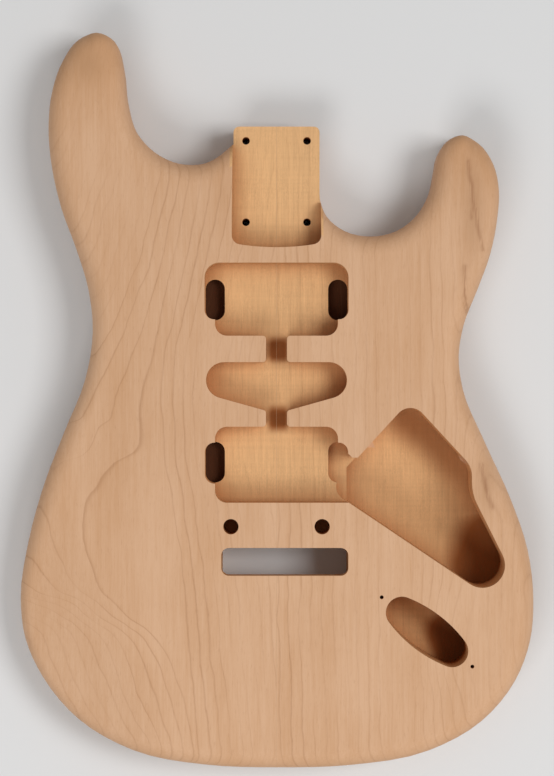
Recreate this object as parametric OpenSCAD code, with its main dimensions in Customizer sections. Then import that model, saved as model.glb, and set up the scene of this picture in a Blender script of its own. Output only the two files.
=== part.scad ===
// Electric guitar body, bare wood, with two cutaways and two horns.
// Two boards are glued edge to edge along the centreline, then shaped and routed as one blank.
// The body lies on its back: +X is the treble side, +Y points to the neck, +Z leaves the front.
// The origin is on the back face, in the middle of the length and width.

/* [Body] */
// Length from the tail to the tip of the bass horn
body_l = 457.2; // [446:0.1:468]
// Width across the lower bout
body_w = 320; // [312:0.5:330]
// Thickness between the two flat faces
body_t = 44.45; // [42:0.05:48]
// Radius of the rounded edges
edge_r = 12.7; // [9:0.1:13]
// Radius of the edges beside the neck plate, where the large rounding dies out
heel_edge_r = 2.5; // [1:0.1:3]
// Thickness of the glue line between the boards
glue_t = 0.15; // [0.1:0.01:0.3]

/* [Contours] */
// Depth of the forearm contour at the rim, on the front
forearm_drop = 13; // [8:0.5:15]
// How far the forearm contour reaches in from the rim
forearm_w = 69; // [55:1:75]
// Depth of the belly cut at the rim, on the back
belly_drop = 17; // [10:0.5:18]
// How far the belly cut reaches in from the rim
belly_w = 64; // [50:1:68]
// Radius of the edges where a contour is deepest
contour_edge_r = 7; // [5:0.5:9]

/* [Neck pocket] */
// Depth of the pocket below the front
pocket_depth = 15.9; // [14:0.1:18]
// Length of the pocket, from the end of the tongue to the heel
pocket_l = 76.2; // [72:0.1:79]
// Width of the pocket at the heel
pocket_w = 55.4; // [54:0.1:58]
// Width of the pocket at the end of the tongue
pocket_end_w = 54.2; // [53:0.1:55]
// Radius of the pocket's two corners
pocket_corner_r = 5.8; // [3:0.1:8]
// Radius of the bowed heel end of the pocket
heel_arc_r = 150; // [110:5:400]
// How far the tongue stands out beyond the bass cutaway
tongue_reach = 11.2; // [9:0.1:14]
// Radius of the tongue's two corners, seen from the front
tongue_corner_r = 3.5; // [3.5:0.1:6]
// Spacing of the neck screws across the body
neck_bolt_dx = 38.1; // [36:0.1:40]
// Spacing of the neck screws along the body
neck_bolt_dy = 50.8; // [48:0.1:53]
// Diameter of the neck screw holes
neck_bolt_d = 4.8; // [4:0.1:5.5]
// Distance from the end of the tongue to the first row of neck screws
neck_bolt_inset = 8.9; // [7:0.1:10]
// Width of the neck plate that the back is left flat for
neck_plate_w = 51; // [48:0.5:52]
// Length of the neck plate
neck_plate_l = 64.5; // [62:0.5:66]

/* [Pickup cavities] */
// Depth of the three pickup cavities
pickup_depth = 19; // [17:0.1:21]
// Depth of the leg slots below the front
leg_depth = 27; // [24:0.5:28]
// Width of a leg slot
leg_w = 12; // [10:0.1:12.4]
// Length of a leg slot
leg_l = 25.4; // [22:0.1:27]
// Spacing of a pair of leg slots, centre to centre
leg_span = 76.6; // [75:0.1:78]
// Width of the two humbucker cavities between their end walls
humbucker_w = 76; // [74:0.1:78]
// Width of the neck cavity across its ears
ear_w = 89; // [88.9:0.1:92]
// Length of the neck cavity, along the body
neck_cavity_l = 45.2; // [44:0.1:48]
// Distance from the studs to the lower edge of the neck cavity
neck_cavity_up = 118; // [116:0.1:120]
// Length of the bridge cavity, along the body
bridge_cavity_l = 47; // [45:0.1:48]
// Distance from the studs to the lower edge of the bridge cavity
bridge_cavity_up = 14.8; // [12:0.1:17]
// Radius of the corners of the ears
ear_r = 9.2; // [7:0.1:11]
// Radius of the other cavity corners
cavity_r = 7.4; // [5:0.1:9]
// Width of the middle cavity
middle_w = 87.2; // [84:0.1:90]
// Radius of the two ends of the middle cavity
middle_end_r = 11.2; // [10:0.1:12]
// How far the middle cavity's pointed lower edge lies below its ends' centres
middle_point = 20.6; // [18:0.1:22]
// Distance from the studs to the middle cavity's ends' centres
middle_up = 90.5; // [89:0.1:92]
// Width of the wiring channel between the cavities
channel_w = 13; // [10:0.5:16]

/* [Control cavity] */
// Depth of the control cavity
control_depth = 38; // [36:0.5:39]
// Radius of the control cavity's upper corner
control_apex_r = 10; // [8:0.1:11]
// Radius of its shoulder, towards the waist
control_shoulder_r = 15; // [14:0.1:16]
// Radius of its lower end
control_end_r = 14; // [12:0.1:15]
// Depth of the passage from the bridge cavity into the control cavity
passage_depth = 27; // [24:0.5:30]
// Diameter of the drilling for the jack's wires
jack_wire_d = 9.5; // [6:0.5:10]
// Diameter of the drilling for the ground wire
ground_wire_d = 3.2; // [2:0.1:4]

/* [Jack recess] */
// Length of the jack recess
jack_l = 59; // [54:0.5:62]
// Width of the jack recess
jack_w = 25.4; // [22:0.1:28]
// Radius of the two ends of the jack recess
jack_end_r = 10; // [8:0.1:10.5]
// Depth of the jack recess
jack_depth = 34; // [28:0.5:37]
// Slope of the jack recess, down towards the treble side
jack_angle = 37.4; // [34:0.1:41]
// Spacing of the jack plate's screws
jack_screw_span = 70.5; // [68:0.1:73]
// Diameter of the jack plate's pilot holes
jack_screw_d = 2.4; // [2:0.1:3]
// Depth of the jack plate's pilot holes
jack_screw_depth = 14; // [10:0.5:18]

/* [Bridge] */
// Distance from the end of the tongue to the tremolo studs
tongue_to_studs = 248.9; // [247:0.1:250]
// Spacing of the tremolo studs
stud_span = 56.4; // [54:0.1:58]
// Diameter of the stud holes
stud_d = 9.5; // [8:0.1:10]
// Depth of the stud holes
stud_depth = 25; // [22:0.5:26]
// Width of the tremolo slot
slot_w = 78.6; // [76:0.1:80]
// Length of the tremolo slot, along the body
slot_l = 17.2; // [15:0.1:19]
// Radius of the slot's corners
slot_r = 4.8; // [3:0.1:6]
// Distance from the studs to the near edge of the slot
slot_gap = 13.1; // [12:0.1:14]
// How far the slot's middle lies towards the treble side
slot_offset = 5.1; // [4:0.1:6]
// Wood left under the front face round the slot
slot_lip = 12; // [9:0.5:15]
// Length of the block route in the back, along the body
block_l = 34; // [30:0.5:38]
// Width of the spring cavity in the back
spring_w = 57.2; // [54:0.1:60]
// Length of the spring cavity in the back
spring_l = 110; // [100:1:114]
// Depth of the spring cavity
spring_depth = 16; // [14:0.1:16.5]
// Radius of the spring cavity's two far corners
spring_r = 6; // [4:0.5:10]

/* [Hidden] */

bass_wood = "#DDB896";
treble_wood = "#DFBA97";
glue_colour = "#C9A574";

// Overlap that lets a cutter leave the wood cleanly
over = 1;
// How far the blank stands proud of each face before it is planed flat
proud = 0.05;
// Steps of the curve between two knots, of a quarter of rounded edge and of a contour
knot_steps = 4;
edge_steps = 6;
contour_rows = 7;
// Largest turn and largest distance between two points of a routed corner
corner_turn = 9;
corner_chord = 4;
bore_fn = 48;

// Half outlines, from the tail round the bouts, the waist and the horn to the cutaway
bass_knots = [
    [45, -226.8], [90, -218], [123.5, -199.5], [146, -173.5], [157.3, -148.5], [160, -123.5],
    [154.7, -87.5], [143.8, -49.5], [131.7, -18.5], [119.3, 12.5], [114.5, 42.5], [117.2, 69],
    [124.5, 93.5], [134, 119.5], [140, 145.5], [142, 171.5], [139.5, 193.5], [133, 211.5],
    [123.5, 224.2], [111.7, 228.6], [101, 223.5], [95.7, 207], [93.5, 187.5], [87.5, 167.5],
    [76, 154.5], [60.5, 147.3], [44.5, 147.5]
];
treble_knots = [
    [45, -227.2], [95, -218], [128, -199.5], [149, -174], [158, -149.5], [160, -124.5],
    [156.5, -93.5], [146, -62], [129, -24.5], [116, 7], [113.5, 27.5], [116.5, 46.5],
    [125, 68.5], [133, 90.5], [137.7, 114.5], [138.5, 131.5], [135, 147], [126, 159.7],
    [115.5, 164.7], [106, 161], [100.5, 152.5], [98.5, 142.5], [95.5, 129], [88, 116],
    [75, 105.5], [59, 102], [42.5, 105.3], [31.2, 114.5]
];
// Places are drawn for a body as large as the knots' outline, and stretched to the body's size
drawn_w = 2 * max([for (k = bass_knots) k.x]);
drawn_l = 2 * max([for (k = bass_knots) k.y]);
function drawn(p) = [p.x * body_w / drawn_w, p.y * body_l / drawn_l];
// Where the cutaways run into the tongue, above their last knot, and the way they run there
bass_cutaway_rise = 12.1;
treble_cutaway_rise = 14;
bass_cutaway_y = drawn(bass_knots[last(bass_knots)]).y + bass_cutaway_rise;
treble_cutaway_y = drawn(treble_knots[last(treble_knots)]).y + treble_cutaway_rise;
bass_cutaway_run = [-0.75, 0.66];
treble_cutaway_run = [0, 1];

// Places along the centreline, each measured from the end of the tongue
tongue_y = bass_cutaway_y + tongue_reach;
heel_y = tongue_y - pocket_l;
stud_y = tongue_y - tongue_to_studs;
neck_plate_y = tongue_y - neck_bolt_inset - neck_bolt_dy / 2;
pocket_floor = body_t - pocket_depth;

// Places of the cavities, each measured from the studs
neck_cavity_y = stud_y + neck_cavity_up;
middle_y = stud_y + middle_up;
bridge_cavity_y = stud_y + bridge_cavity_up;
slot_y = stud_y - slot_gap - slot_l;
// The block route reaches past the slot's near edge, where the spring cavity begins
block_reach = 3.2;
spring_y = stud_y - slot_gap + block_reach;
block_y = spring_y - block_l;

// Corners of the channel's mouths, and how far the middle cavity's edge rises beside its point there
mouth_r = 2;
point_rise = 2.25;

// The leg slots' centres, above the lower edge of their cavity
neck_leg_up = 22.8;
bridge_leg_up = 24.5;
neck_leg_y = neck_cavity_y + neck_leg_up;
bridge_leg_y = bridge_cavity_y + bridge_leg_up;

// Corners of the control cavity's plan: from the centreline, and up or down from the studs.
// The bend is the hollow between the shoulder and the lower end.
control_apex_x = 82.75;
control_apex_up = 63.4;
control_shoulder_x = 105.8;
control_shoulder_up = 31.1;
control_bend_x = 150.8;
control_bend_up = 27.3;
control_bend_r = 30;
control_end_x = 127.2;
control_end_down = 23.8;
control_left_x = 45.5;
control_left_up = 35.3;
control_low_up = 16.1;
control_low_r = 1.5;
control_apex = [control_apex_x, stud_y + control_apex_up];
control_shoulder = [control_shoulder_x, stud_y + control_shoulder_up];
control_bend = [control_bend_x, stud_y + control_bend_up];
control_end = [control_end_x, stud_y - control_end_down];
control_left = [control_left_x, stud_y + control_left_up];
control_low = [control_left_x, stud_y + control_low_up];

// Passage from the bridge cavity: it has a round left end and goes up to just above its leg slot
passage_left = 37.3;
passage_right = 55;
passage_r = 9.2;
passage_up = 42.7;
passage_top = stud_y + passage_up;
passage_corner = 3;

// Middle of the jack recess, and heights of the two drillings for wires
jack_x = 93;
jack_down = 65;
jack_centre = [jack_x, stud_y - jack_down];
jack_wire_z = 16;
ground_wire_z = 11;

// The tongue stays this much inside the walls of the pocket
tongue_step = 0.25;
tongue_w = pocket_end_w - 2 * tongue_step;
tongue_corner_turn = 22.5;

// A contour is a scoop: its middle, the circle where it starts, its slope and its soft start
function scoop(rim, out, bow, reach, drop, soft) =
    [rim + out / norm(out) * (bow - reach), bow, drop / (reach - soft / 2), soft, drop];
forearm_rim_x = 150;
forearm_rim_down = 165;
forearm_rim = drawn([forearm_rim_x, -forearm_rim_down]);
forearm_out = [0.92, -0.39];
forearm_bow = 600;
forearm_soft = 24;
forearm = scoop(forearm_rim, forearm_out, forearm_bow, forearm_w, forearm_drop, forearm_soft);
belly_rim_x = 114.5;
belly_rim_up = 42;
belly_rim = drawn([belly_rim_x, belly_rim_up]);
belly_out = [1, -0.05];
belly_bow = 140;
belly_soft = 20;
belly = scoop(belly_rim, belly_out, belly_bow, belly_w, belly_drop, belly_soft);
flat = [[0, 0], 0, 0, 1, 1];
// A column of points has rows in a contour only where it reaches this far into it
least_reach = 7;
// The row next to the start of the contour is at least this far into it
least_row = 6;

function reach(s, p) = s[1] - norm(p - s[0]);
function depth(s, p) = let (d = reach(s, p))
    d <= 0 ? 0 : d < s[3] ? s[2] * d * d / (2 * s[3]) : s[2] * (d - s[3] / 2);

function unit(v) = v / norm(v);
function across(v) = [v.y, -v.x];
function last(list) = len(list) - 1;

// Smooth curve through knots, with a given direction at each end
function slope(k, i) =
    let (a = norm(k[i] - k[i - 1]), b = norm(k[i + 1] - k[i]))
    ((k[i] - k[i - 1]) * b / a + (k[i + 1] - k[i]) * a / b) / (a + b);
function span(p, q, tp, tq, u) =
    p * (2 * u ^ 3 - 3 * u ^ 2 + 1) + tp * (u ^ 3 - 2 * u ^ 2 + u)
    + q * (3 * u ^ 2 - 2 * u ^ 3) + tq * (u ^ 3 - u ^ 2);
function curve(k, start, end) =
    let (t = concat([start], [for (i = [1 : last(k) - 1]) slope(k, i)], [end]))
    concat([for (i = [0 : last(k) - 1], j = [0 : knot_steps - 1])
        let (l = norm(k[i + 1] - k[i])) span(k[i], k[i + 1], t[i] * l, t[i + 1] * l, j / knot_steps)],
        [k[last(k)]]);

// Half outline from the tail to the end of the tongue, drawn on the +X side
function half_outline(knots, cutaway_y, end) =
    let (
        r = tongue_corner_r,
        side = curve(concat([[glue_t / 2, -body_l / 2]], [for (k = knots) drawn(k)],
            [[tongue_w / 2, cutaway_y]]), [1, 0], end),
        straight = [[tongue_w / 2, (cutaway_y + tongue_y - r) / 2]],
        corner = [for (a = [0 : tongue_corner_turn : 90])
            [tongue_w / 2 - r + r * cos(a), tongue_y - r + r * sin(a)]]
    )
    concat(side, straight, corner, [[glue_t / 2, tongue_y]]);
function outward(path, i) =
    i == 0 ? [0, -1] : i == last(path) ? [0, 1] : unit(across(path[i + 1] - path[i - 1]));

// Radius of the rounded edge at a point of the outline
function plate_gap(p) = norm([max(0, p.x - neck_plate_w / 2),
    max(0, abs(p.y - neck_plate_y) - neck_plate_l / 2)]);
// Share of the gap to the neck plate that the back's rounded edge may take
plate_share = 0.8;
function softened(s, p) = edge_r - (edge_r - contour_edge_r) * min(1, depth(s, p) / s[4]);
// At the tips of the horns the edge's radius stays below the bend of the outline
tip_share = 0.68;
function turn_of(a, b, c) = (b.x - a.x) * (c.y - a.y) - (b.y - a.y) * (c.x - a.x);
function tip_limit(path, i) =
    let (a = path[max(0, i - knot_steps)], b = path[i], c = path[min(last(path), i + knot_steps)],
        turn = turn_of(a, b, c))
    turn <= 0 ? edge_r : tip_share * norm(b - a) * norm(c - b) * norm(c - a) / (2 * turn);
function front_radius(s, path, i, tongue_start) =
    i >= tongue_start ? heel_edge_r : min(softened(s, path[i]), tip_limit(path, i));
function back_radius(s, path, i) =
    max(heel_edge_r, min(softened(s, path[i]), plate_share * plate_gap(path[i]), tip_limit(path, i)));

// Points from the rim inwards, as [x, y, depth below the face]; the last one stands proud
function toward(p, q, d) = p + (q - p) * (p.z - d) / (p.z - q.z);
function rim_column(p, n, r, s) =
    let (
        arc = [for (k = [0 : edge_steps]) let (a = 90 * k / edge_steps, q = p - n * r * (1 - cos(a)))
            [q.x, q.y, r * (1 - sin(a)) + depth(s, q)]],
        inner = [arc[edge_steps].x, arc[edge_steps].y],
        far = reach(s, inner),
        ray = unit(inner - s[0]),
        near = max(least_row, far / contour_rows),
        steps = [for (j = [1 : contour_rows - 1]) (far - near) * j / (contour_rows - 1)],
        rows = [for (step = concat(steps, [far])) let (q = inner + ray * step)
            [q.x, q.y, depth(s, q)]]
    )
    far < least_reach
        ? concat([for (k = [0 : edge_steps - 1]) arc[k]],
            [toward(arc[edge_steps - 1], arc[edge_steps], -proud)])
        : concat(arc, [for (j = [0 : contour_rows - 2]) rows[j]],
            [toward(rows[contour_rows - 2], rows[contour_rows - 1], -proud)]);

// Triangles that fill a flat outline, given as a list of numbers of its points, anticlockwise
function covers(a, b, c, p) =
    turn_of(a, b, p) >= 0 && turn_of(b, c, p) >= 0 && turn_of(c, a, p) >= 0;
function is_ear(points, loop, i) =
    let (n = len(loop), a = points[loop[(i + n - 1) % n]], b = points[loop[i % n]],
        c = points[loop[(i + 1) % n]])
    turn_of(a, b, c) > 0
    && len([for (j = [2 : n - 2]) if (covers(a, b, c, points[loop[(i + j) % n]])) j]) == 0;
function next_ear(points, loop, i, stop) =
    i >= stop || is_ear(points, loop, i) ? i % len(loop) : next_ear(points, loop, i + 1, stop);
function filled(points, loop, start = 0, done = []) =
    len(loop) == 3 ? concat(done, [loop]) :
    let (n = len(loop), i = next_ear(points, loop, start, start + n))
    filled(points, [for (j = [0 : n - 1]) if (j != i) loop[j]], i,
        concat(done, [[loop[(i + n - 1) % n], loop[i], loop[(i + 1) % n]]]));
function reversed(list) = [for (k = [last(list) : -1 : 0]) list[k]];

// Unworked half blank with its rounded edges and contours, on the +X side
module half_blank(knots, cutaway_y, end, front_scoop, back_scoop) {
    path = half_outline(knots, cutaway_y, end);
    tongue_start = len(knots) * knot_steps + knot_steps + 1;
    fronts = [for (i = [0 : last(path)]) rim_column(path[i], outward(path, i),
        front_radius(front_scoop, path, i, tongue_start), front_scoop)];
    backs = [for (i = [0 : last(path)]) rim_column(path[i], outward(path, i),
        back_radius(back_scoop, path, i), back_scoop)];
    slots = edge_steps + contour_rows + 1;
    n = len(path);
    // Every column takes the same number of places, and the places past its last point stay unused
    function padded(c) = [for (k = [0 : slots - 1]) c[min(k, last(c))]];
    points = concat(
        [for (c = fronts, q = padded(c)) [q.x, q.y, body_t - q.z]],
        [for (c = backs, q = padded(c)) [q.x, q.y, q.z]]);
    function f(i, k) = i * slots + k;
    function b(i, k) = (n + i) * slots + k;
    function strip(a, c, side) =
        let (m = last(a), o = last(c), same = min(m, o))
        concat(
            [for (k = [0 : same - 1], t = [0, 1]) side == 1
                ? (t == 0 ? [0, k, 1, k, 1, k + 1] : [0, k, 1, k + 1, 0, k + 1])
                : (t == 0 ? [0, k, 1, k + 1, 1, k] : [0, k, 0, k + 1, 1, k + 1])],
            [for (k = [same : 1 : m - 1]) side == 1 ? [0, k, 1, o, 0, k + 1] : [0, k, 0, k + 1, 1, o]],
            [for (k = [same : 1 : o - 1]) side == 1 ? [0, m, 1, k, 1, k + 1] : [0, m, 1, k + 1, 1, k]]);
    front_faces = [for (i = [0 : n - 2], t = strip(fronts[i], fronts[i + 1], 1))
        [f(i + t[0], t[1]), f(i + t[2], t[3]), f(i + t[4], t[5])]];
    back_faces = [for (i = [0 : n - 2], t = strip(backs[i], backs[i + 1], -1))
        [b(i + t[0], t[1]), b(i + t[2], t[3]), b(i + t[4], t[5])]];
    rim_faces = [for (i = [0 : n - 2], t = [0, 1])
        t == 0 ? [b(i, 0), b(i + 1, 0), f(i + 1, 0)] : [b(i, 0), f(i + 1, 0), f(i, 0)]];
    front_cap = filled(points, [for (i = [0 : n - 1]) f(i, last(fronts[i]))]);
    back_cap = filled(points, [for (i = [0 : n - 1]) b(i, last(backs[i]))]);
    joint_face = concat(
        [for (k = [last(backs[0]) : -1 : 0]) b(0, k)],
        [for (k = [0 : last(fronts[0])]) f(0, k)],
        [for (k = [last(fronts[n - 1]) : -1 : 0]) f(n - 1, k)],
        [for (k = [0 : last(backs[n - 1])]) b(n - 1, k)]);
    outward_faces = concat(front_faces, back_faces, rim_faces, front_cap,
        [for (face = back_cap) reversed(face)], [joint_face]);
    intersection() {
        polyhedron(points, [for (face = outward_faces) reversed(face)]);
        translate([-over, -body_l, 0])
            cube([body_w, 2 * body_l, body_t]);
    }
}

// Outline drawn taut round discs [x, y, r], anticlockwise; it passes a disc of negative r inside
function tangent(a, b) =
    let (d = [b.x - a.x, b.y - a.y], l = norm(d), s = (a.z - b.z) / l)
    d / l * s + across(d / l) * sqrt(max(0, 1 - s * s));
function bearing(v) = atan2(v.y, v.x);
function belt(discs) =
    let (n = len(discs))
    [for (i = [0 : n - 1])
        let (
            c = discs[i],
            from = bearing(tangent(discs[(i + n - 1) % n], c)),
            swing = bearing(tangent(c, discs[(i + 1) % n])) - from,
            turn = c.z > 0 ? (swing + 720) % 360 : (swing + 720) % 360 - 360,
            steps = max(1, ceil(abs(turn) / corner_turn), ceil(abs(turn * c.z) * PI / 180 / corner_chord))
        )
        for (k = [0 : steps]) let (a = from + turn * k / steps) [c.x, c.y] + c.z * [cos(a), sin(a)]];
// Rectangle from its lowest to its highest corner, with rounded corners below and above
function box_belt(low, high, r_low, r_high) = belt([
    [low.x + r_low, low.y + r_low, r_low], [high.x - r_low, low.y + r_low, r_low],
    [high.x - r_high, high.y - r_high, r_high], [low.x + r_high, high.y - r_high, r_high]]);

// Prism routed from the front or from the back down to a depth
module from_front(d)
    translate([0, 0, body_t - d])
        linear_extrude(d + over)
            children();
module from_back(d)
    translate([0, 0, -over])
        linear_extrude(d + over)
            children();
// Round hole between two places
module drilling(a, b, d)
    translate(a)
        rotate([0, acos((b - a).z / norm(b - a)), bearing(b - a)])
            cylinder(h = norm(b - a), d = d, $fn = bore_fn);

// Neck pocket: a bowed heel end, slightly tapering walls and an open end at the tongue
module neck_pocket() {
    corner_x = pocket_w / 2 - pocket_corner_r;
    rise = heel_arc_r - sqrt((heel_arc_r - pocket_corner_r) ^ 2 - corner_x ^ 2);
    open_y = tongue_y + over;
    // The heel's large disc and the two corner discs touch, so the outline is one smooth line
    from_front(pocket_depth)
        polygon(belt([
            [-corner_x, heel_y + rise, pocket_corner_r],
            [0, heel_y + heel_arc_r, heel_arc_r],
            [corner_x, heel_y + rise, pocket_corner_r],
            [pocket_end_w / 2 - over, open_y, over],
            [over - pocket_end_w / 2, open_y, over]]));
    for (x = [-1, 1], y = [-1, 1])
        translate([x * neck_bolt_dx / 2, neck_plate_y + y * neck_bolt_dy / 2, -over])
            cylinder(h = pocket_floor + 2 * over, d = neck_bolt_d, $fn = bore_fn);
}

module leg_slot(x, y)
    polygon(belt([[x, y - leg_l / 2 + leg_w / 2, leg_w / 2], [x, y + leg_l / 2 - leg_w / 2, leg_w / 2]]));

// Channel between two cavities, with rounded corners where it opens into them
module channel(low, high)
    difference() {
        translate([-channel_w / 2 - mouth_r, low - over])
            square([channel_w + 2 * mouth_r, high - low + 2 * over]);
        for (x = [-1, 1])
            polygon(belt([[x * (channel_w / 2 + mouth_r), low + mouth_r, mouth_r],
                [x * (channel_w / 2 + mouth_r), high - mouth_r, mouth_r]]));
    }

// Three pickup cavities with their leg slots, and the channels that join them
module pickup_cavities() {
    neck_top = neck_cavity_y + neck_cavity_l;
    bridge_top = bridge_cavity_y + bridge_cavity_l;
    middle_x = middle_w / 2 - middle_end_r;
    from_front(pickup_depth) {
        polygon(box_belt([-ear_w / 2, neck_leg_y - leg_l / 2], [ear_w / 2, neck_top], leg_w / 2, ear_r));
        polygon(box_belt([-humbucker_w / 2, neck_cavity_y], [humbucker_w / 2, neck_leg_y],
            cavity_r, over));
        polygon(belt([[-middle_x, middle_y, middle_end_r], [0, middle_y - middle_point + over, over],
            [middle_x, middle_y, middle_end_r]]));
        polygon(box_belt([-humbucker_w / 2, bridge_cavity_y], [humbucker_w / 2, bridge_top],
            cavity_r, cavity_r));
        channel(bridge_top, middle_y - middle_point + point_rise);
        channel(middle_y + middle_end_r, neck_cavity_y);
    }
    from_front(leg_depth)
        for (x = [-1, 1]) {
            leg_slot(x * leg_span / 2, neck_leg_y);
            leg_slot(x * leg_span / 2, bridge_leg_y);
        }
}

// Two studs, the tremolo's slot with the wider route for its block, and the spring cavity
module bridge_routing() {
    for (x = [-1, 1])
        translate([x * stud_span / 2, stud_y, body_t - stud_depth])
            cylinder(h = stud_depth + over, d = stud_d, $fn = bore_fn);
    left = slot_offset - slot_w / 2;
    right = slot_offset + slot_w / 2;
    from_front(slot_lip + over)
        polygon(box_belt([left, slot_y], [right, slot_y + slot_l], slot_r, slot_r));
    from_back(body_t - slot_lip)
        polygon(box_belt([left, block_y], [right, spring_y], slot_r, slot_r));
    from_back(spring_depth)
        polygon(box_belt([-spring_w / 2, spring_y - 2 * slot_r], [spring_w / 2, spring_y + spring_l],
            over, spring_r));
}

// Control cavity, the passage that leads into it, and the drilling for the ground wire
module control_routing() {
    from_front(control_depth)
        polygon(belt([concat(control_shoulder, control_shoulder_r), concat(control_apex, control_apex_r),
            concat(control_left, control_low_r), concat(control_low, control_low_r),
            concat(control_end, control_end_r), concat(control_bend, -control_bend_r)]));
    end = [passage_left + passage_r, bridge_cavity_y + passage_r];
    leg_side = (leg_span + leg_w) / 2 - over / 2;
    from_front(passage_depth) {
        translate(end)
            circle(r = passage_r, $fn = bore_fn);
        polygon([[leg_side, end.y], [end.x, bridge_cavity_y], [passage_right, bridge_cavity_y],
            [passage_right, passage_top], [leg_side + passage_corner, passage_top],
            [leg_side, passage_top + passage_corner]]);
    }
    from_front(pickup_depth)
        translate([leg_side - 2 * cavity_r, bridge_cavity_y])
            square([2 * cavity_r + over, 2 * cavity_r]);
    drilling([spring_w / 2 - over, (control_left.y + control_low.y) / 2, ground_wire_z],
        [control_left.x + over, (control_left.y + control_low.y) / 2, ground_wire_z], ground_wire_d);
}

// Oval jack recess with its two pilot holes, and the drilling for the wires
module jack_routing() {
    tip = jack_l / 2 - jack_end_r;
    side_r = (tip ^ 2 + (jack_w / 2) ^ 2 - jack_end_r ^ 2) / (jack_w - 2 * jack_end_r);
    bow = side_r - jack_w / 2;
    translate(jack_centre)
        rotate(-jack_angle) {
            from_front(jack_depth)
                polygon(belt([[tip, 0, jack_end_r], [0, -bow, side_r], [-tip, 0, jack_end_r],
                    [0, bow, side_r]]));
            for (x = [-1, 1])
                translate([x * jack_screw_span / 2, 0, body_t - jack_screw_depth])
                    cylinder(h = jack_screw_depth + over, d = jack_screw_d, $fn = bore_fn);
        }
    drilling(concat(jack_centre, jack_wire_z), concat(control_end, jack_wire_z), jack_wire_d);
}

module common_routing() {
    neck_pocket();
    pickup_cavities();
    bridge_routing();
}

module bass_side_board()
    color(bass_wood)
        difference() {
            mirror([1, 0, 0])
                half_blank(bass_knots, bass_cutaway_y, bass_cutaway_run, forearm, belly);
            common_routing();
        }

module treble_side_board()
    color(treble_wood)
        difference() {
            half_blank(treble_knots, treble_cutaway_y, treble_cutaway_run, flat, flat);
            common_routing();
            control_routing();
            jack_routing();
        }

// The glue fills the joint, so its outline is that of the boards' ends
module centre_glue_line() {
    function end_points(p, n, r) = let (c = rim_column(p, n, r, flat))
        [for (k = [0 : edge_steps - 1]) [c[k].y, c[k].z]];
    function front(points) = [for (q = points) [q.x, body_t - q.y]];
    tail = concat(end_points([0, -body_l / 2], [0, -1], edge_r), [[edge_r - body_l / 2, 0]]);
    tongue = concat(end_points([0, tongue_y], [0, 1], heel_edge_r), [[tongue_y - heel_edge_r, 0]]);
    color(glue_colour)
        difference() {
            translate([-glue_t / 2, 0, 0])
                rotate([90, 0, 90])
                    linear_extrude(glue_t)
                        polygon(concat(reversed(tail), front(tail), reversed(front(tongue)), tongue));
            common_routing();
        }
}

bass_side_board();
treble_side_board();
centre_glue_line();
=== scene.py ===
import math

import bpy
from bpy.props import FloatProperty, FloatVectorProperty, PointerProperty
from bpy.types import Operator, Panel, PropertyGroup
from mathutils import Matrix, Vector


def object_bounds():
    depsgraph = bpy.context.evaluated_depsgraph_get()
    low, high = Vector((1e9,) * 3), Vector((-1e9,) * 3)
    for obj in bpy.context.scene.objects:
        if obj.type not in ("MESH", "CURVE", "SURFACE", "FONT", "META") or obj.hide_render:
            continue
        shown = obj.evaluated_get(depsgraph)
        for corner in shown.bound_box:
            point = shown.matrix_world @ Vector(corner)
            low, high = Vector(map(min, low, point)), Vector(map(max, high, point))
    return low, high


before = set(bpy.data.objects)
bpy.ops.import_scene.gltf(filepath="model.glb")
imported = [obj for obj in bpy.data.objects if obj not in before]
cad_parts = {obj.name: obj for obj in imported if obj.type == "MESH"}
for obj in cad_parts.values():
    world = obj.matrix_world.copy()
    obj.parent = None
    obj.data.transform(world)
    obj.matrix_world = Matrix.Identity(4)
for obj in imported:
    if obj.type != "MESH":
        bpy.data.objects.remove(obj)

bl_info = {
    "name": "Bare Guitar Body",
    "version": (1, 0, 0),
    "blender": (4, 5, 0),
    "location": "3D View > Sidebar > Guitar Body",
    "description": "Sanded bare wood for an electric guitar body, with its stage",
    "category": "Object",
}

LOW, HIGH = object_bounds()

# The wood's effects are laid out in millimetres on the body, with z measured up from its back.
MILLIMETRES = 1000
THICKNESS = HIGH[2] * MILLIMETRES

# The picture's height, and how many of its pixels a metre of the front face takes
PICTURE_HEIGHT = 776
PIXELS_PER_METRE = 1618.9


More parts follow.
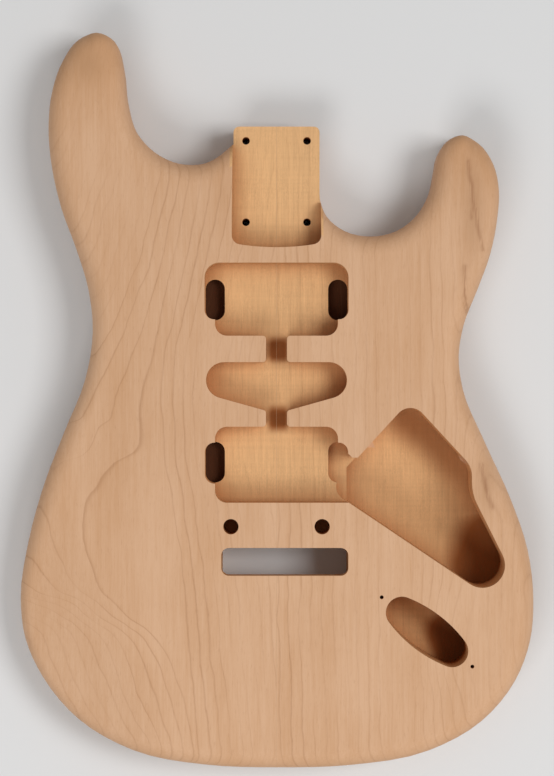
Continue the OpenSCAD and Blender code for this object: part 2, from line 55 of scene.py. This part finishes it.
class BodySettings(PropertyGroup):
    """Colours and sizes that the wood and the stage are made with"""
    pale_wood: FloatVectorProperty(
        name="Pale Wood", description="Sanded wood between the growth rings",
        subtype="COLOR", size=4, min=0, max=1, default=(0.672, 0.412, 0.248, 1))
    warm_wood: FloatVectorProperty(
        name="Warm Wood", description="Warmer patches and bands of the sanded wood",
        subtype="COLOR", size=4, min=0, max=1, default=(0.568, 0.312, 0.160, 1))
    ring_brown: FloatVectorProperty(
        name="Ring Brown", description="Thin dark line where a growth ring ends",
        subtype="COLOR", size=4, min=0, max=1, default=(0.300, 0.130, 0.055, 1))
    routed_tan: FloatVectorProperty(
        name="Routed Tan", description="Floors left by the router",
        subtype="COLOR", size=4, min=0, max=1, default=(0.790, 0.460, 0.216, 1))
    # Also the colour of the painted shade in the leg slots, each narrow channel and the deep ends
    burnt_and_shade_brown: FloatVectorProperty(
        name="Burnt Brown", description="Deep walls and bores that the cutter has burnt",
        subtype="COLOR", size=4, min=0, max=1, default=(0.075, 0.020, 0.004, 1))
    # Also the colour of the painted shade in inner corners and on the floors beside walls
    rubbed_and_shade_brown: FloatVectorProperty(
        name="Rubbed Brown", description="Walls that the cutter has rubbed, and the floors beside them",
        subtype="COLOR", size=4, min=0, max=1, default=(0.400, 0.125, 0.028, 1))
    glue_tan: FloatVectorProperty(
        name="Glue Tan", description="Dried glue of the centre joint",
        subtype="COLOR", size=4, min=0, max=1, default=(0.500, 0.320, 0.180, 1))
    floor_grey: FloatVectorProperty(
        name="Floor", description="Plain pale floor",
        subtype="COLOR", size=4, min=0, max=1, default=(0.72, 0.72, 0.72, 1))
    bass_ring_spacing: FloatProperty(
        name="Bass Ring Spacing", description="Distance between the straight rings of the bass side board",
        default=0.0066, min=0.002, max=0.02, unit="LENGTH")
    treble_ring_spacing: FloatProperty(
        name="Treble Ring Spacing", description="Distance between the rings of the treble side board",
        default=0.0069, min=0.002, max=0.02, unit="LENGTH")
    sharp_angle: FloatProperty(
        name="Sharp Angle", description="Edges that turn by more than this stay sharp",
        default=math.radians(28), min=0, max=math.pi, unit="ROTATION")
    # Sets how far the painted shade reaches out from an inner corner
    shadow_reach: FloatProperty(
        name="Shadow Reach", description="How far from an inner corner the routed wood is rubbed brown",
        default=0.016, min=0.001, max=0.05, unit="LENGTH")
    camera_height: FloatProperty(
        name="Camera Height", description="Height of the camera above the front face",
        default=1.5, min=0.5, max=5, unit="LENGTH")


def settings():
    return bpy.context.scene.guitar_body


def fill(tree, socket, value):
    """Links a socket to a Value or a socket, or sets it to a plain number or colour."""
    if isinstance(value, Value):
        value = value.socket
    if isinstance(value, bpy.types.NodeSocket):
        tree.links.new(value, socket)
    else:
        socket.default_value = value


class Value:
    """A number inside a node tree, so that a texture can be written as a formula."""

    def __init__(self, tree, socket):
        self.tree = tree
        self.socket = socket

    def do(self, operation, *others, clamp=False):
        node = self.tree.nodes.new("ShaderNodeMath")
        node.operation = operation
        node.use_clamp = clamp
        for socket, value in zip(node.inputs, (self,) + others):
            fill(self.tree, socket, value)
        return Value(self.tree, node.outputs[0])

    def __add__(self, other):
        return self.do("ADD", other)

    def __sub__(self, other):
        return self.do("SUBTRACT", other)

    def __mul__(self, other):
        return self.do("MULTIPLY", other)

    def __truediv__(self, other):
        return self.do("DIVIDE", other)

    def __pow__(self, other):
        return self.do("POWER", other)

    def __neg__(self):
        return self * -1

    def __abs__(self):
        return self.do("ABSOLUTE")

    def clamp(self):
        return self.do("ADD", 0, clamp=True)

    def least(self, other):
        return self.do("MINIMUM", other)

    def most(self, other):
        return self.do("MAXIMUM", other)

    def bell(self):
        """1 at zero, falling smoothly to 0 on both sides."""
        return (-(self ** 2)).do("EXPONENT")

    def step(self, start, end):
        """0 up to start and 1 from end on, with a smooth rise between them; start may lie above end."""
        node = self.tree.nodes.new("ShaderNodeMapRange")
        node.interpolation_type = "SMOOTHSTEP"
        fill(self.tree, node.inputs["Value"], self)
        node.inputs["From Min"].default_value = min(start, end)
        node.inputs["From Max"].default_value = max(start, end)
        node.inputs["To Min"].default_value = 0 if start < end else 1
        node.inputs["To Max"].default_value = 1 if start < end else 0
        return Value(self.tree, node.outputs["Result"])


def follow(tree, value, points):
    """A smooth curve through given (value, result) points, level beyond both ends."""
    node = tree.nodes.new("ShaderNodeFloatCurve")
    first, last = points[0][0], points[-1][0]
    results = [result for place, result in points]
    low, high = min(results), max(results)
    spots = [((place - first) / (last - first), (result - low) / (high - low)) for place, result in points]
    dots = node.mapping.curves[0].points
    dots[0].location = spots[0]
    dots[-1].location = spots[-1]
    for spot in spots[1:-1]:
        dots.new(*spot)
    node.mapping.update()
    fill(tree, node.inputs["Value"], ((value - first) / (last - first)).clamp())
    return Value(tree, node.outputs["Value"]) * (high - low) + low


def add_group(name, inputs, outputs):
    """An empty shader group with vector or number inputs and number outputs; returns its three parts."""
    tree = bpy.data.node_groups.new(name, "ShaderNodeTree")
    for socket_name, kind in inputs.items():
        tree.interface.new_socket(name=socket_name, in_out="INPUT", socket_type="NodeSocket" + kind)
    for socket_name in outputs:
        tree.interface.new_socket(name=socket_name, in_out="OUTPUT", socket_type="NodeSocketFloat")
    enter = tree.nodes.new("NodeGroupInput")
    leave = tree.nodes.new("NodeGroupOutput")
    return tree, enter, leave


def put_out(tree, leave, **results):
    """Hands a group's results to its outputs, by name."""
    for name, value in results.items():
        fill(tree, leave.inputs[name.replace("_", " ")], value)


def place_group(tree, name, **given):
    """Puts a finished group into a tree and returns its outputs by name."""
    node = tree.nodes.new("ShaderNodeGroup")
    node.node_tree = bpy.data.node_groups[name]
    for socket_name, value in given.items():
        fill(tree, node.inputs[socket_name], value)
    return {out.name: Value(tree, out) for out in node.outputs}


def split(tree, vector):
    node = tree.nodes.new("ShaderNodeSeparateXYZ")
    fill(tree, node.inputs[0], vector)
    return [Value(tree, out) for out in node.outputs]


def join(tree, x, y, z):
    node = tree.nodes.new("ShaderNodeCombineXYZ")
    for socket, value in zip(node.inputs, (x, y, z)):
        fill(tree, socket, value)
    return node.outputs[0]


def noise(tree, x, y, z, detail=2.0, roughness=0.5):
    """Soft noise about 0.5, whose size in each direction is set by how x, y and z are scaled."""
    node = tree.nodes.new("ShaderNodeTexNoise")
    node.inputs["Scale"].default_value = 1
    node.inputs["Detail"].default_value = detail
    node.inputs["Roughness"].default_value = roughness
    fill(tree, node.inputs["Vector"], join(tree, x, y, z))
    return Value(tree, node.outputs["Fac"])


def paint(tree, factor, first, second):
    """Mixes two colours, each a socket or four numbers."""
    node = tree.nodes.new("ShaderNodeMix")
    node.data_type = "RGBA"
    fill(tree, node.inputs[0], factor)
    colour_sockets = [socket for socket in node.inputs if socket.type == "RGBA"]
    for socket, colour in zip(colour_sockets, (first, second)):
        fill(tree, socket, colour)
    return [out for out in node.outputs if out.type == "RGBA"][0]


def darker(colour, share):
    """A colour that gives back only a share of its light."""
    return tuple(part * share for part in colour[:3]) + (1,)


def place_on_body(tree):
    """Place on the body in millimetres, and the socket of the surface's own direction."""
    coordinates = tree.nodes.new("ShaderNodeTexCoord")
    x, y, z = (value * MILLIMETRES for value in split(tree, coordinates.outputs["Object"]))
    return x, y, z, coordinates.outputs["Normal"]


def hill(x, y, middle, size):
    """A smooth bump of height 1, which falls to about a third at its size across and along."""
    across = ((x - middle[0]) / size[0]) ** 2
    along = ((y - middle[1]) / size[1]) ** 2
    return (-(across + along)).do("EXPONENT")


def near_line(x, y, start, end):
    """Distance from a straight line between two places, seen from the front."""
    run = (end[0] - start[0], end[1] - start[1])
    length_squared = run[0] ** 2 + run[1] ** 2
    share = (((x - start[0]) * run[0] + (y - start[1]) * run[1]) / length_squared).clamp()
    across = x - start[0] - share * run[0]
    along = y - start[1] - share * run[1]
    return (across * across + along * along).do("SQRT")


def box(x, y, middle, half):
    """Below 0 inside a box seen from the front, and above 0 outside it."""
    return (abs(x - middle[0]) - half[0]).most(abs(y - middle[1]) - half[1])


def warped(tree, x, y, z, seed, amount, scale):
    """Places pushed about by noise, so that rings wave as they do round old branches."""
    push_x = noise(tree, x * scale, y * scale * 0.7 + seed, z * scale) - 0.5
    push_y = noise(tree, x * scale + seed, y * scale * 0.7, z * scale + 5.3) - 0.5
    ripple = noise(tree, x * 0.09, y * 0.045 + seed, z * 0.05, detail=3) - 0.5
    return x + push_x * amount + ripple * 3.4, y + push_y * amount * 1.6


def build_fibre_group():
    """Fine fibres, short pores and broad bands that all run along the board."""
    tree, enter, leave = add_group("wood_fibre", {"Place": "Vector"},
                                   ("Fibre", "Pore", "Band", "Mottle", "Speckle"))
    x, y, z = split(tree, enter.outputs["Place"])
    fine = noise(tree, x * 1.9, y * 0.075, z * 1.9, detail=3, roughness=0.62)
    coarse = noise(tree, x * 0.55, y * 0.018, z * 0.4)
    dashes = noise(tree, x * 2.3, y * 0.21, z * 2.3, detail=1)
    broad = noise(tree, x * 0.055, y * 0.006, z * 0.03)
    cloud = noise(tree, x * 0.03, y * 0.018, z * 0.02, detail=3, roughness=0.6)
    torn = noise(tree, x * 1.5, y * 0.7, z, detail=3, roughness=0.75)
    torn_here = noise(tree, x * 0.07, y * 0.05, 4.0).step(0.35, 0.65)
    put_out(tree, leave,
            Fibre=(fine - 0.5) * 2.0 + (coarse - 0.5) * 1.5,
            Pore=dashes.step(0.63, 0.74),
            Band=broad,
            Mottle=cloud,
            Speckle=(torn - 0.5) * torn_here)


def build_ring_group():
    """Thin brown lines of the growth rings, where a field passes whole numbers."""
    tree, enter, leave = add_group("growth_rings",
                                   {"Field": "Float", "Spacing": "Float", "Place": "Vector"},
                                   ("Line", "Late Wood"))
    half_line = 0.5
    late_wood = 1.9
    x, y, z = split(tree, enter.outputs["Place"])
    field = Value(tree, enter.outputs["Field"])
    spacing = Value(tree, enter.outputs["Spacing"])
    part = field.do("FRACT")
    ring = field.do("FLOOR")

    chance = tree.nodes.new("ShaderNodeTexWhiteNoise")
    chance.noise_dimensions = "1D"
    fill(tree, chance.inputs["W"], ring + 0.37)
    strength = Value(tree, chance.outputs["Value"]) ** 1.5 * 0.85 + 0.15
    fade = noise(tree, x * 0.03, y * 0.014, z * 0.03 + ring * 1.7)
    plain_horns = hill(x, y, (-112, 178), (34, 62)).most(hill(x, y, (118, 132), (24, 40)))
    strength = strength * fade.step(0.25, 0.62) * (plain_horns * -0.85 + 1)

    before = (part * -1 + 1) * spacing
    after = part * spacing
    gap = before.least(after)
    put_out(tree, leave,
            Line=(gap / half_line).bell() * strength,
            Late_Wood=(-(before / late_wood)).do("EXPONENT") * strength)


def build_bass_rings():
    """The bass side board is cut flat: its rings pass round a long plain patch below the waist."""
    tree, enter, leave = add_group("bass_ring_field", {"Place": "Vector"}, ("Field", "Spacing"))
    plain = 0.3
    right_gap = settings().bass_ring_spacing * MILLIMETRES
    x, y, z = split(tree, enter.outputs["Place"])
    lean = (z - THICKNESS) * 0.55
    u, v = warped(tree, x, y, z, seed=7.0, amount=5, scale=0.03)
    left_edge = follow(tree, v, [(-220, -50), (-180, -60), (-155, -69), (-130, -96), (-105, -114),
                                 (-78, -120), (-52, -111), (-38, -101), (-26, -85), (-5, -85), (25, -78),
                                 (60, -70), (95, -62), (145, -52), (220, -30)])
    left_gap = follow(tree, v, [(-220, 6), (-165, 8.5), (-135, 8), (-118, 13), (-86, 17), (-55, 27),
                                (-35, 30), (-10, 17), (25, 11.5), (60, 8.5), (130, 6.5), (220, 6)])
    right_edge = follow(tree, v, [(-220, -47), (-155, -54), (-108, -58), (-62, -64), (-24, -70), (12, -71),
                                  (50, -63), (95, -54), (150, -44), (220, -30)])
    left = (left_edge - u + lean) / left_gap
    right = (u - right_edge - lean) / right_gap
    put_out(tree, leave,
            Field=left.most(-plain) + right.most(-plain) + plain,
            Spacing=left.do("GREATER_THAN", 0) * (left_gap - right_gap) + right_gap)


def build_treble_rings():
    """The treble side board has straighter rings, with a loop below the jack recess."""
    tree, enter, leave = add_group("treble_ring_field", {"Place": "Vector"}, ("Field", "Spacing"))
    gap = settings().treble_ring_spacing * MILLIMETRES
    x, y, z = split(tree, enter.outputs["Place"])
    lean = (z - THICKNESS) * 0.5
    u, v = warped(tree, x, y, z, seed=31.0, amount=6, scale=0.026)
    straight = (u + v * 0.012 + lean) / gap
    loop = hill(u, v, (108, -152), (16, 40)) * 1.7
    upper_branch = hill(u, v, (124, 110), (8, 34)) * 1.6
    lower_branch = hill(u, v, (128, -52), (9, 26)) * 1.4
    put_out(tree, leave, Field=straight + loop + upper_branch + lower_branch, Spacing=gap)


def build_stain_group():
    """Brown streaks and orange patches where branches once grew, beside the rim."""
    tree, enter, leave = add_group("branch_stains", {"Place": "Vector"}, ("Streak", "Patch"))
    x, y, z = split(tree, enter.outputs["Place"])
    u, v = warped(tree, x, y, z, seed=3.0, amount=5, scale=0.06)
    streak = (near_line(u, v, (119, 148), (122, 112)) / 1.6).bell()
    for start, end, width in (((123, 118), (127, 92), 1.3), ((116, 82), (118, 55), 1.5),
                              ((126, -40), (132, -66), 1.8)):
        streak = streak.most((near_line(u, v, start, end) / width).bell())
    grain = noise(tree, x * 1.2, y * 0.09, z)
    treble_patches = hill(u, v, (122, 118), (7, 36)).most(hill(u, v, (129, -52), (6, 17)))
    bass_patch = hill(u, v, (-118, 208), (12, 12)) * 0.9
    put_out(tree, leave, Streak=streak * grain.step(0.3, 0.6), Patch=treble_patches.most(bass_patch))


def find_routed(x, y, z, jack):
    """1 on the wood that a router or a drill has cut, and 0 on the sanded outside."""
    heel_end, just_under_floor = 90, 28.1
    pocket = (abs(x) - 29).most(-y + heel_end).most(-z + just_under_floor)
    bolt_x = abs(x) - 19.05
    bolt_y = abs(y - 136.5) - 25.4
    neck_bolts = (bolt_x * bolt_x + bolt_y * bolt_y).do("SQRT") - 3.4
    pickups = box(x, y, (0, 11), (50, 77))
    studs_and_slot = box(x, y, (5, -94), (43, 29))
    control_arm = near_line(x, y, (127, -102), (107, -52)) - 17
    control_apex = near_line(x, y, (83, -20), (95, -46)) - 23
    control_middle = near_line(x, y, (60, -52), (116, -94)) - 22
    passage = near_line(x, y, (45, -50), (92, -56)) - 15
    jack_pilots = near_line(x, y, (65, -122), (121, -164.5)) - 3
    plan = pickups
    for region in (pocket, neck_bolts, studs_and_slot, control_arm, control_apex, control_middle,
                   passage, jack, jack_pilots):
        plan = plan.least(region)
    under_front = z.step(THICKNESS - 0.15, THICKNESS - 0.35)
    over_back = z.step(0.15, 0.35)
    return plan.step(0.4, -0.4) * under_front * over_back


def find_burn_and_painted_shade(x, y, z, jack):
    """How dark the routed wood is painted: the leg slots most, scorched by the cutter and in painted shade,
    then painted shade in each narrow channel, and painted shadows at the deep ends of the cavity for the
    controls and of the jack recess.
    """
    # Leg slots: partly scorched by the cutter, partly painted shade for their narrow depth
    leg_x = abs(abs(x) - 38.3).step(7, 6.2)
    leg_y = abs(abs(y - 12) - 51).step(14, 13)
    under_pickups = z.step(25.3, 24.5)
    not_the_passage = x.step(0, -1).most(y.step(0, 1))
    legs = leg_x * leg_y * under_pickups * not_the_passage
    # Painted shade in each narrow channel between the pickup cavities
    between_pickups = abs(abs(y - 10) - 21.5).step(11, 3)
    channel_shade = abs(x - 1).step(9, 3) * between_pickups * z.step(THICKNESS - 3, 27) * z.step(20, 24)
    # Painted shadow on the floor of the cavity for the controls, along its right wall and at its arm's end
    arm_end_shadow = near_line(x, y, (128, -105), (135, -88)).step(30, 8)
    rim_side_shadow = near_line(x, y, (82, -12), (97, -21)).least(near_line(x, y, (97, -21), (122, -48)))
    rim_side_shadow = rim_side_shadow.least(near_line(x, y, (122, -48), (140, -96))).step(22, 2)
    control_shadow = z.step(22, 5) * (arm_end_shadow * 0.55).most(rim_side_shadow * 0.3)
    # Painted shadow on the floor of the jack recess, at its lower end
    jack_end_shadow = near_line(x, y, (112, -158), (108, -147)).step(20, 4)
    jack_end_shadow = z.step(36, 10) * (jack_end_shadow * 0.7) * jack.step(1, -1)
    return (legs * 0.96).most(channel_shade * 0.5).most(control_shadow).most(jack_end_shadow).clamp()


def build_routed_group():
    """Tells the routed floors, walls and bores from the sanded outside, and how much scorching, wall
    streaks and painted shade each gets.
    """
    tree, enter, leave = add_group("routed_wood", {"Place": "Vector", "Facing": "Vector"},
                                   ("Routed", "Rub", "Burn", "Mill"))
    x, y, z = split(tree, enter.outputs["Place"])
    facing_up = split(tree, enter.outputs["Facing"])[2]
    jack = near_line(x, y, (74, -128.5), (112, -158)) - 18
    # Walls are darkened: partly streaks left by the cutter, partly painted shade on the walls
    wall = abs(facing_up).step(0.8, 0.5)
    streaks = noise(tree, x * 0.035, y * 0.035, z * 0.5, detail=3, roughness=0.6)
    ridges = noise(tree, x * 0.012, y * 0.42, 2.0) - 0.5
    chatter = noise(tree, x * 0.5, y * 1.1, z * 0.4, detail=1) - 0.5
    put_out(tree, leave,
            Routed=find_routed(x, y, z, jack),
            Rub=wall * (streaks.step(0.3, 0.75) * 0.4 + 0.12),
            Burn=find_burn_and_painted_shade(x, y, z, jack),
            Mill=ridges * 0.9 + chatter * 0.3)


def build_wood(name, ring_field):
    """The wood of one board, sanded outside and routed inside."""
    colours = settings()
    material = bpy.data.materials.new(name)
    material.use_nodes = True
    tree = material.node_tree
    shader = tree.nodes["Principled BSDF"]
    x, y, z, facing = place_on_body(tree)
    place = join(tree, x, y, z)

    fibre = place_group(tree, "wood_fibre", Place=place)
    fibres, pores, mottle = fibre["Fibre"], fibre["Pore"], fibre["Mottle"]
    field = place_group(tree, ring_field, Place=place)
    rings = place_group(tree, "growth_rings", Field=field["Field"], Spacing=field["Spacing"], Place=place)
    line, late = rings["Line"], rings["Late Wood"]
    stains = place_group(tree, "branch_stains", Place=place)
    routed = place_group(tree, "routed_wood", Place=place, Facing=facing)
    is_routed, burn_and_shade, mill = routed["Routed"], routed["Burn"], routed["Mill"]

    # Horn tips painted warmer and darker: partly their end grain, partly painted shade towards the top of
    # the body
    horn_tips = hill(x, y, (-114, 216), (30, 34)).most(hill(x, y, (118, 160), (28, 32)))
    warmth = fibre["Band"] - 0.5 + (mottle - 0.5) * 0.8 + late * 0.3 - fibres * 0.5 + 0.3 + horn_tips * 0.7
    skin = paint(tree, warmth.clamp(), tuple(colours.pale_wood), tuple(colours.warm_wood))
    end_grain = abs(split(tree, facing)[1]).step(0.35, 1.0)
    skin = paint(tree, end_grain * 0.45, skin, tuple(colours.warm_wood))
    skin = paint(tree, stains["Patch"] * 0.55, skin, darker(colours.warm_wood, 0.8))

    milled = mill * -0.5 - fibres * 0.55 + (mottle - 0.5) * 0.8 + late * 0.35 + fibre["Speckle"] * 1.5 + 0.3
    cut = paint(tree, milled.clamp(), tuple(colours.routed_tan), darker(colours.routed_tan, 0.72))
    # Painted shade: an ambient occlusion node finds inner corners and the floors beside walls, which are
    # painted a darker brown
    corners = tree.nodes.new("ShaderNodeAmbientOcclusion")
    corners.samples = 8
    corners.inputs["Distance"].default_value = colours.shadow_reach
    corner_shade = Value(tree, corners.outputs["AO"]).step(0.95, 0.25)
    # The routed wood is painted browner by the painted corner shade, by the scorch and painted shade of the
    # slots and deep ends, and by the wall streaks
    rubbed = (corner_shade * 0.62).most((burn_and_shade * 2.2).clamp()).most(routed["Rub"])
    cut = paint(tree, rubbed, cut, tuple(colours.rubbed_and_shade_brown))
    # The darkest of the scorch and painted shade goes to a near black brown
    cut = paint(tree, (burn_and_shade ** 1.6 * 1.05).clamp(), cut, tuple(colours.burnt_and_shade_brown))

    wood = paint(tree, is_routed, skin, cut)
    marks = line * (is_routed * -0.18 + 0.34) + pores * 0.14 + stains["Streak"] * 0.5
    wood = paint(tree, marks.clamp(), wood, tuple(colours.ring_brown))
    fill(tree, shader.inputs["Base Color"], wood)

    rough = is_routed * 0.12 + pores * 0.1 + fibres * 0.06 + 0.58
    fill(tree, shader.inputs["Roughness"], rough.clamp())
    shader.inputs["Specular IOR Level"].default_value = 0.2

    bump = tree.nodes.new("ShaderNodeBump")
    bump.inputs["Strength"].default_value = 0.25
    bump.inputs["Distance"].default_value = 0.0004
    height = fibres * 0.3 - pores * 0.5 - line * 0.4 + is_routed * (mill * 0.5 + fibre["Speckle"] * 1.2)
    fill(tree, bump.inputs["Height"], height)
    fill(tree, shader.inputs["Normal"], bump.outputs["Normal"])
    return material


def build_glue():
    """The dried glue of the centre joint, scraped level with the boards."""
    colours = settings()
    material = bpy.data.materials.new("dried_glue")
    material.use_nodes = True
    tree = material.node_tree
    shader = tree.nodes["Principled BSDF"]
    x, y, z = place_on_body(tree)[:3]
    patch = noise(tree, x * 0.2, y * 0.15, z * 0.2, detail=3)
    glue = paint(tree, patch.step(0.3, 0.7), tuple(colours.glue_tan), tuple(colours.warm_wood))
    fill(tree, shader.inputs["Base Color"], glue)
    fill(tree, shader.inputs["Roughness"], patch * 0.2 + 0.4)
    return material


def build_smoothing():
    """Shades the rounded edges as one surface and keeps the rims of the cavities sharp."""
    weld_distance = 0.00001
    tree = bpy.data.node_groups.new("soft_edges", "GeometryNodeTree")
    tree.is_modifier = True
    tree.interface.new_socket(name="Geometry", in_out="INPUT", socket_type="NodeSocketGeometry")
    tree.interface.new_socket(name="Geometry", in_out="OUTPUT", socket_type="NodeSocketGeometry")
    enter = tree.nodes.new("NodeGroupInput")
    leave = tree.nodes.new("NodeGroupOutput")
    weld = tree.nodes.new("GeometryNodeMergeByDistance")
    weld.inputs["Distance"].default_value = weld_distance
    faces = tree.nodes.new("GeometryNodeSetShadeSmooth")
    faces.domain = "FACE"
    edges = tree.nodes.new("GeometryNodeSetShadeSmooth")
    edges.domain = "EDGE"
    edges.inputs["Shade Smooth"].default_value = False
    angle = tree.nodes.new("GeometryNodeInputMeshEdgeAngle")
    sharp = tree.nodes.new("FunctionNodeCompare")
    sharp.data_type = "FLOAT"
    sharp.operation = "GREATER_THAN"
    sharp.inputs["B"].default_value = settings().sharp_angle
    tree.links.new(enter.outputs["Geometry"], weld.inputs["Geometry"])
    tree.links.new(weld.outputs["Geometry"], faces.inputs["Geometry"])
    tree.links.new(faces.outputs["Geometry"], edges.inputs["Geometry"])
    tree.links.new(angle.outputs["Unsigned Angle"], sharp.inputs["A"])
    tree.links.new(sharp.outputs["Result"], edges.inputs["Selection"])
    tree.links.new(edges.outputs["Geometry"], leave.inputs["Geometry"])


def clothe(node, material):
    """Gives one piece of the body its material and its soft edges."""
    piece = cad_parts[node]
    piece.modifiers.new("soft_edges", "NODES").node_group = bpy.data.node_groups["soft_edges"]
    piece.data.materials.clear()
    piece.data.materials.append(material)


def add_floor(grey):
    """The pale floor, just below the body's back."""
    reach = 6.0
    gap = 0.0005
    mesh = bpy.data.meshes.new("studio_floor")
    mesh.from_pydata([(-reach, -reach, 0), (reach, -reach, 0), (reach, reach, 0), (-reach, reach, 0)], [],
                     [(0, 1, 2, 3)])
    floor = bpy.data.objects.new("studio_floor", mesh)
    floor.location = (0, 0, LOW[2] - gap)
    bpy.context.collection.objects.link(floor)
    material = bpy.data.materials.new("floor_paper")
    material.use_nodes = True
    shader = material.node_tree.nodes["Principled BSDF"]
    shader.inputs["Base Color"].default_value = grey
    shader.inputs["Roughness"].default_value = 0.9
    mesh.materials.append(material)


def add_room_light(strength):
    """Even white light from all sides."""
    world = bpy.data.worlds.new("studio")
    bpy.context.scene.world = world
    world.use_nodes = True
    background = world.node_tree.nodes["Background"]
    background.inputs["Color"].default_value = (1, 1, 1, 1)
    background.inputs["Strength"].default_value = strength


def add_lamp(name, place, target, size, power):
    """A soft rectangular lamp that is aimed at a place."""
    lamp = bpy.data.lights.new(name, "AREA")
    lamp.shape = "RECTANGLE"
    lamp.size, lamp.size_y = size
    lamp.energy = power
    holder = bpy.data.objects.new(name, lamp)
    holder.location = place
    aim = Vector(target) - Vector(place)
    holder.rotation_euler = aim.to_track_quat("-Z", "Y").to_euler()
    bpy.context.collection.objects.link(holder)


def add_camera(height):
    """Looks straight down on the front face, as the photograph does."""
    view = bpy.data.cameras.new("camera")
    view.sensor_width = 36
    view.lens = PIXELS_PER_METRE * height * view.sensor_width / PICTURE_HEIGHT
    camera = bpy.data.objects.new("camera", view)
    camera.location = (0.0003, 0.0076, HIGH[2] + height)
    camera.rotation_euler = (0, 0, 0)
    bpy.context.collection.objects.link(camera)
    bpy.context.scene.camera = camera


class GUITAR_OT_stage(Operator):
    """Sets the pale floor, the soft lamps and the camera square above the front"""
    bl_idname = "guitar.stage"
    bl_label = "Stage"

    def execute(self, context):
        add_floor(tuple(settings().floor_grey))
        add_room_light(0.37)
        add_lamp("key_right", place=(2.0, 0.15, 3.0), target=(0, 0, 0), size=(1.4, 1.4), power=58)
        add_lamp("low_front", place=(-0.55, -1.25, 1.7), target=(0, -0.1, 0), size=(1.2, 0.8), power=15.5)
        add_camera(settings().camera_height)
        bpy.context.scene.view_settings.view_transform = "Standard"
        return {"FINISHED"}


class GUITAR_OT_wood_effects(Operator):
    """Builds the fibre, ring and routing effects that the boards share"""
    bl_idname = "guitar.wood_effects"
    bl_label = "Wood Effects"

    def execute(self, context):
        build_fibre_group()
        build_ring_group()
        build_bass_rings()
        build_treble_rings()
        build_stain_group()
        build_routed_group()
        build_smoothing()
        return {"FINISHED"}


class GUITAR_OT_bass_board(Operator):
    """Gives the bass side board its sanded, flat-cut wood"""
    bl_idname = "guitar.bass_board"
    bl_label = "Bass Side Board"

    def execute(self, context):
        clothe("bass_side_board", build_wood("bass_side_wood", "bass_ring_field"))
        return {"FINISHED"}


class GUITAR_OT_treble_board(Operator):
    """Gives the treble side board its sanded, straight-grained wood"""
    bl_idname = "guitar.treble_board"
    bl_label = "Treble Side Board"

    def execute(self, context):
        clothe("treble_side_board", build_wood("treble_side_wood", "treble_ring_field"))
        return {"FINISHED"}


class GUITAR_OT_glue_line(Operator):
    """Gives the centre joint its dried, scraped glue"""
    bl_idname = "guitar.glue_line"
    bl_label = "Centre Glue Line"

    def execute(self, context):
        clothe("centre_glue_line", build_glue())
        return {"FINISHED"}


STEPS = (GUITAR_OT_stage, GUITAR_OT_wood_effects, GUITAR_OT_bass_board, GUITAR_OT_treble_board,
         GUITAR_OT_glue_line)


class GUITAR_PT_body(Panel):
    """Lists the steps that dress the guitar body"""
    bl_label = "Guitar Body"
    bl_idname = "GUITAR_PT_body"
    bl_space_type = "VIEW_3D"
    bl_region_type = "UI"
    bl_category = "Guitar Body"

    def draw(self, context):
        for name in BodySettings.__annotations__:
            self.layout.prop(context.scene.guitar_body, name)
        for step in STEPS:
            self.layout.operator(step.bl_idname)


CLASSES = (BodySettings,) + STEPS + (GUITAR_PT_body,)


def register():
    for item in CLASSES:
        bpy.utils.register_class(item)
    bpy.types.Scene.guitar_body = PointerProperty(type=BodySettings)


def unregister():
    del bpy.types.Scene.guitar_body
    for item in reversed(CLASSES):
        bpy.utils.unregister_class(item)


def main():
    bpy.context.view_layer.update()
    register()
    bpy.ops.guitar.stage()
    bpy.ops.guitar.wood_effects()
    bpy.ops.guitar.bass_board()
    bpy.ops.guitar.treble_board()
    bpy.ops.guitar.glue_line()
    bpy.context.view_layer.update()


if __name__ == "__main__":
    main()
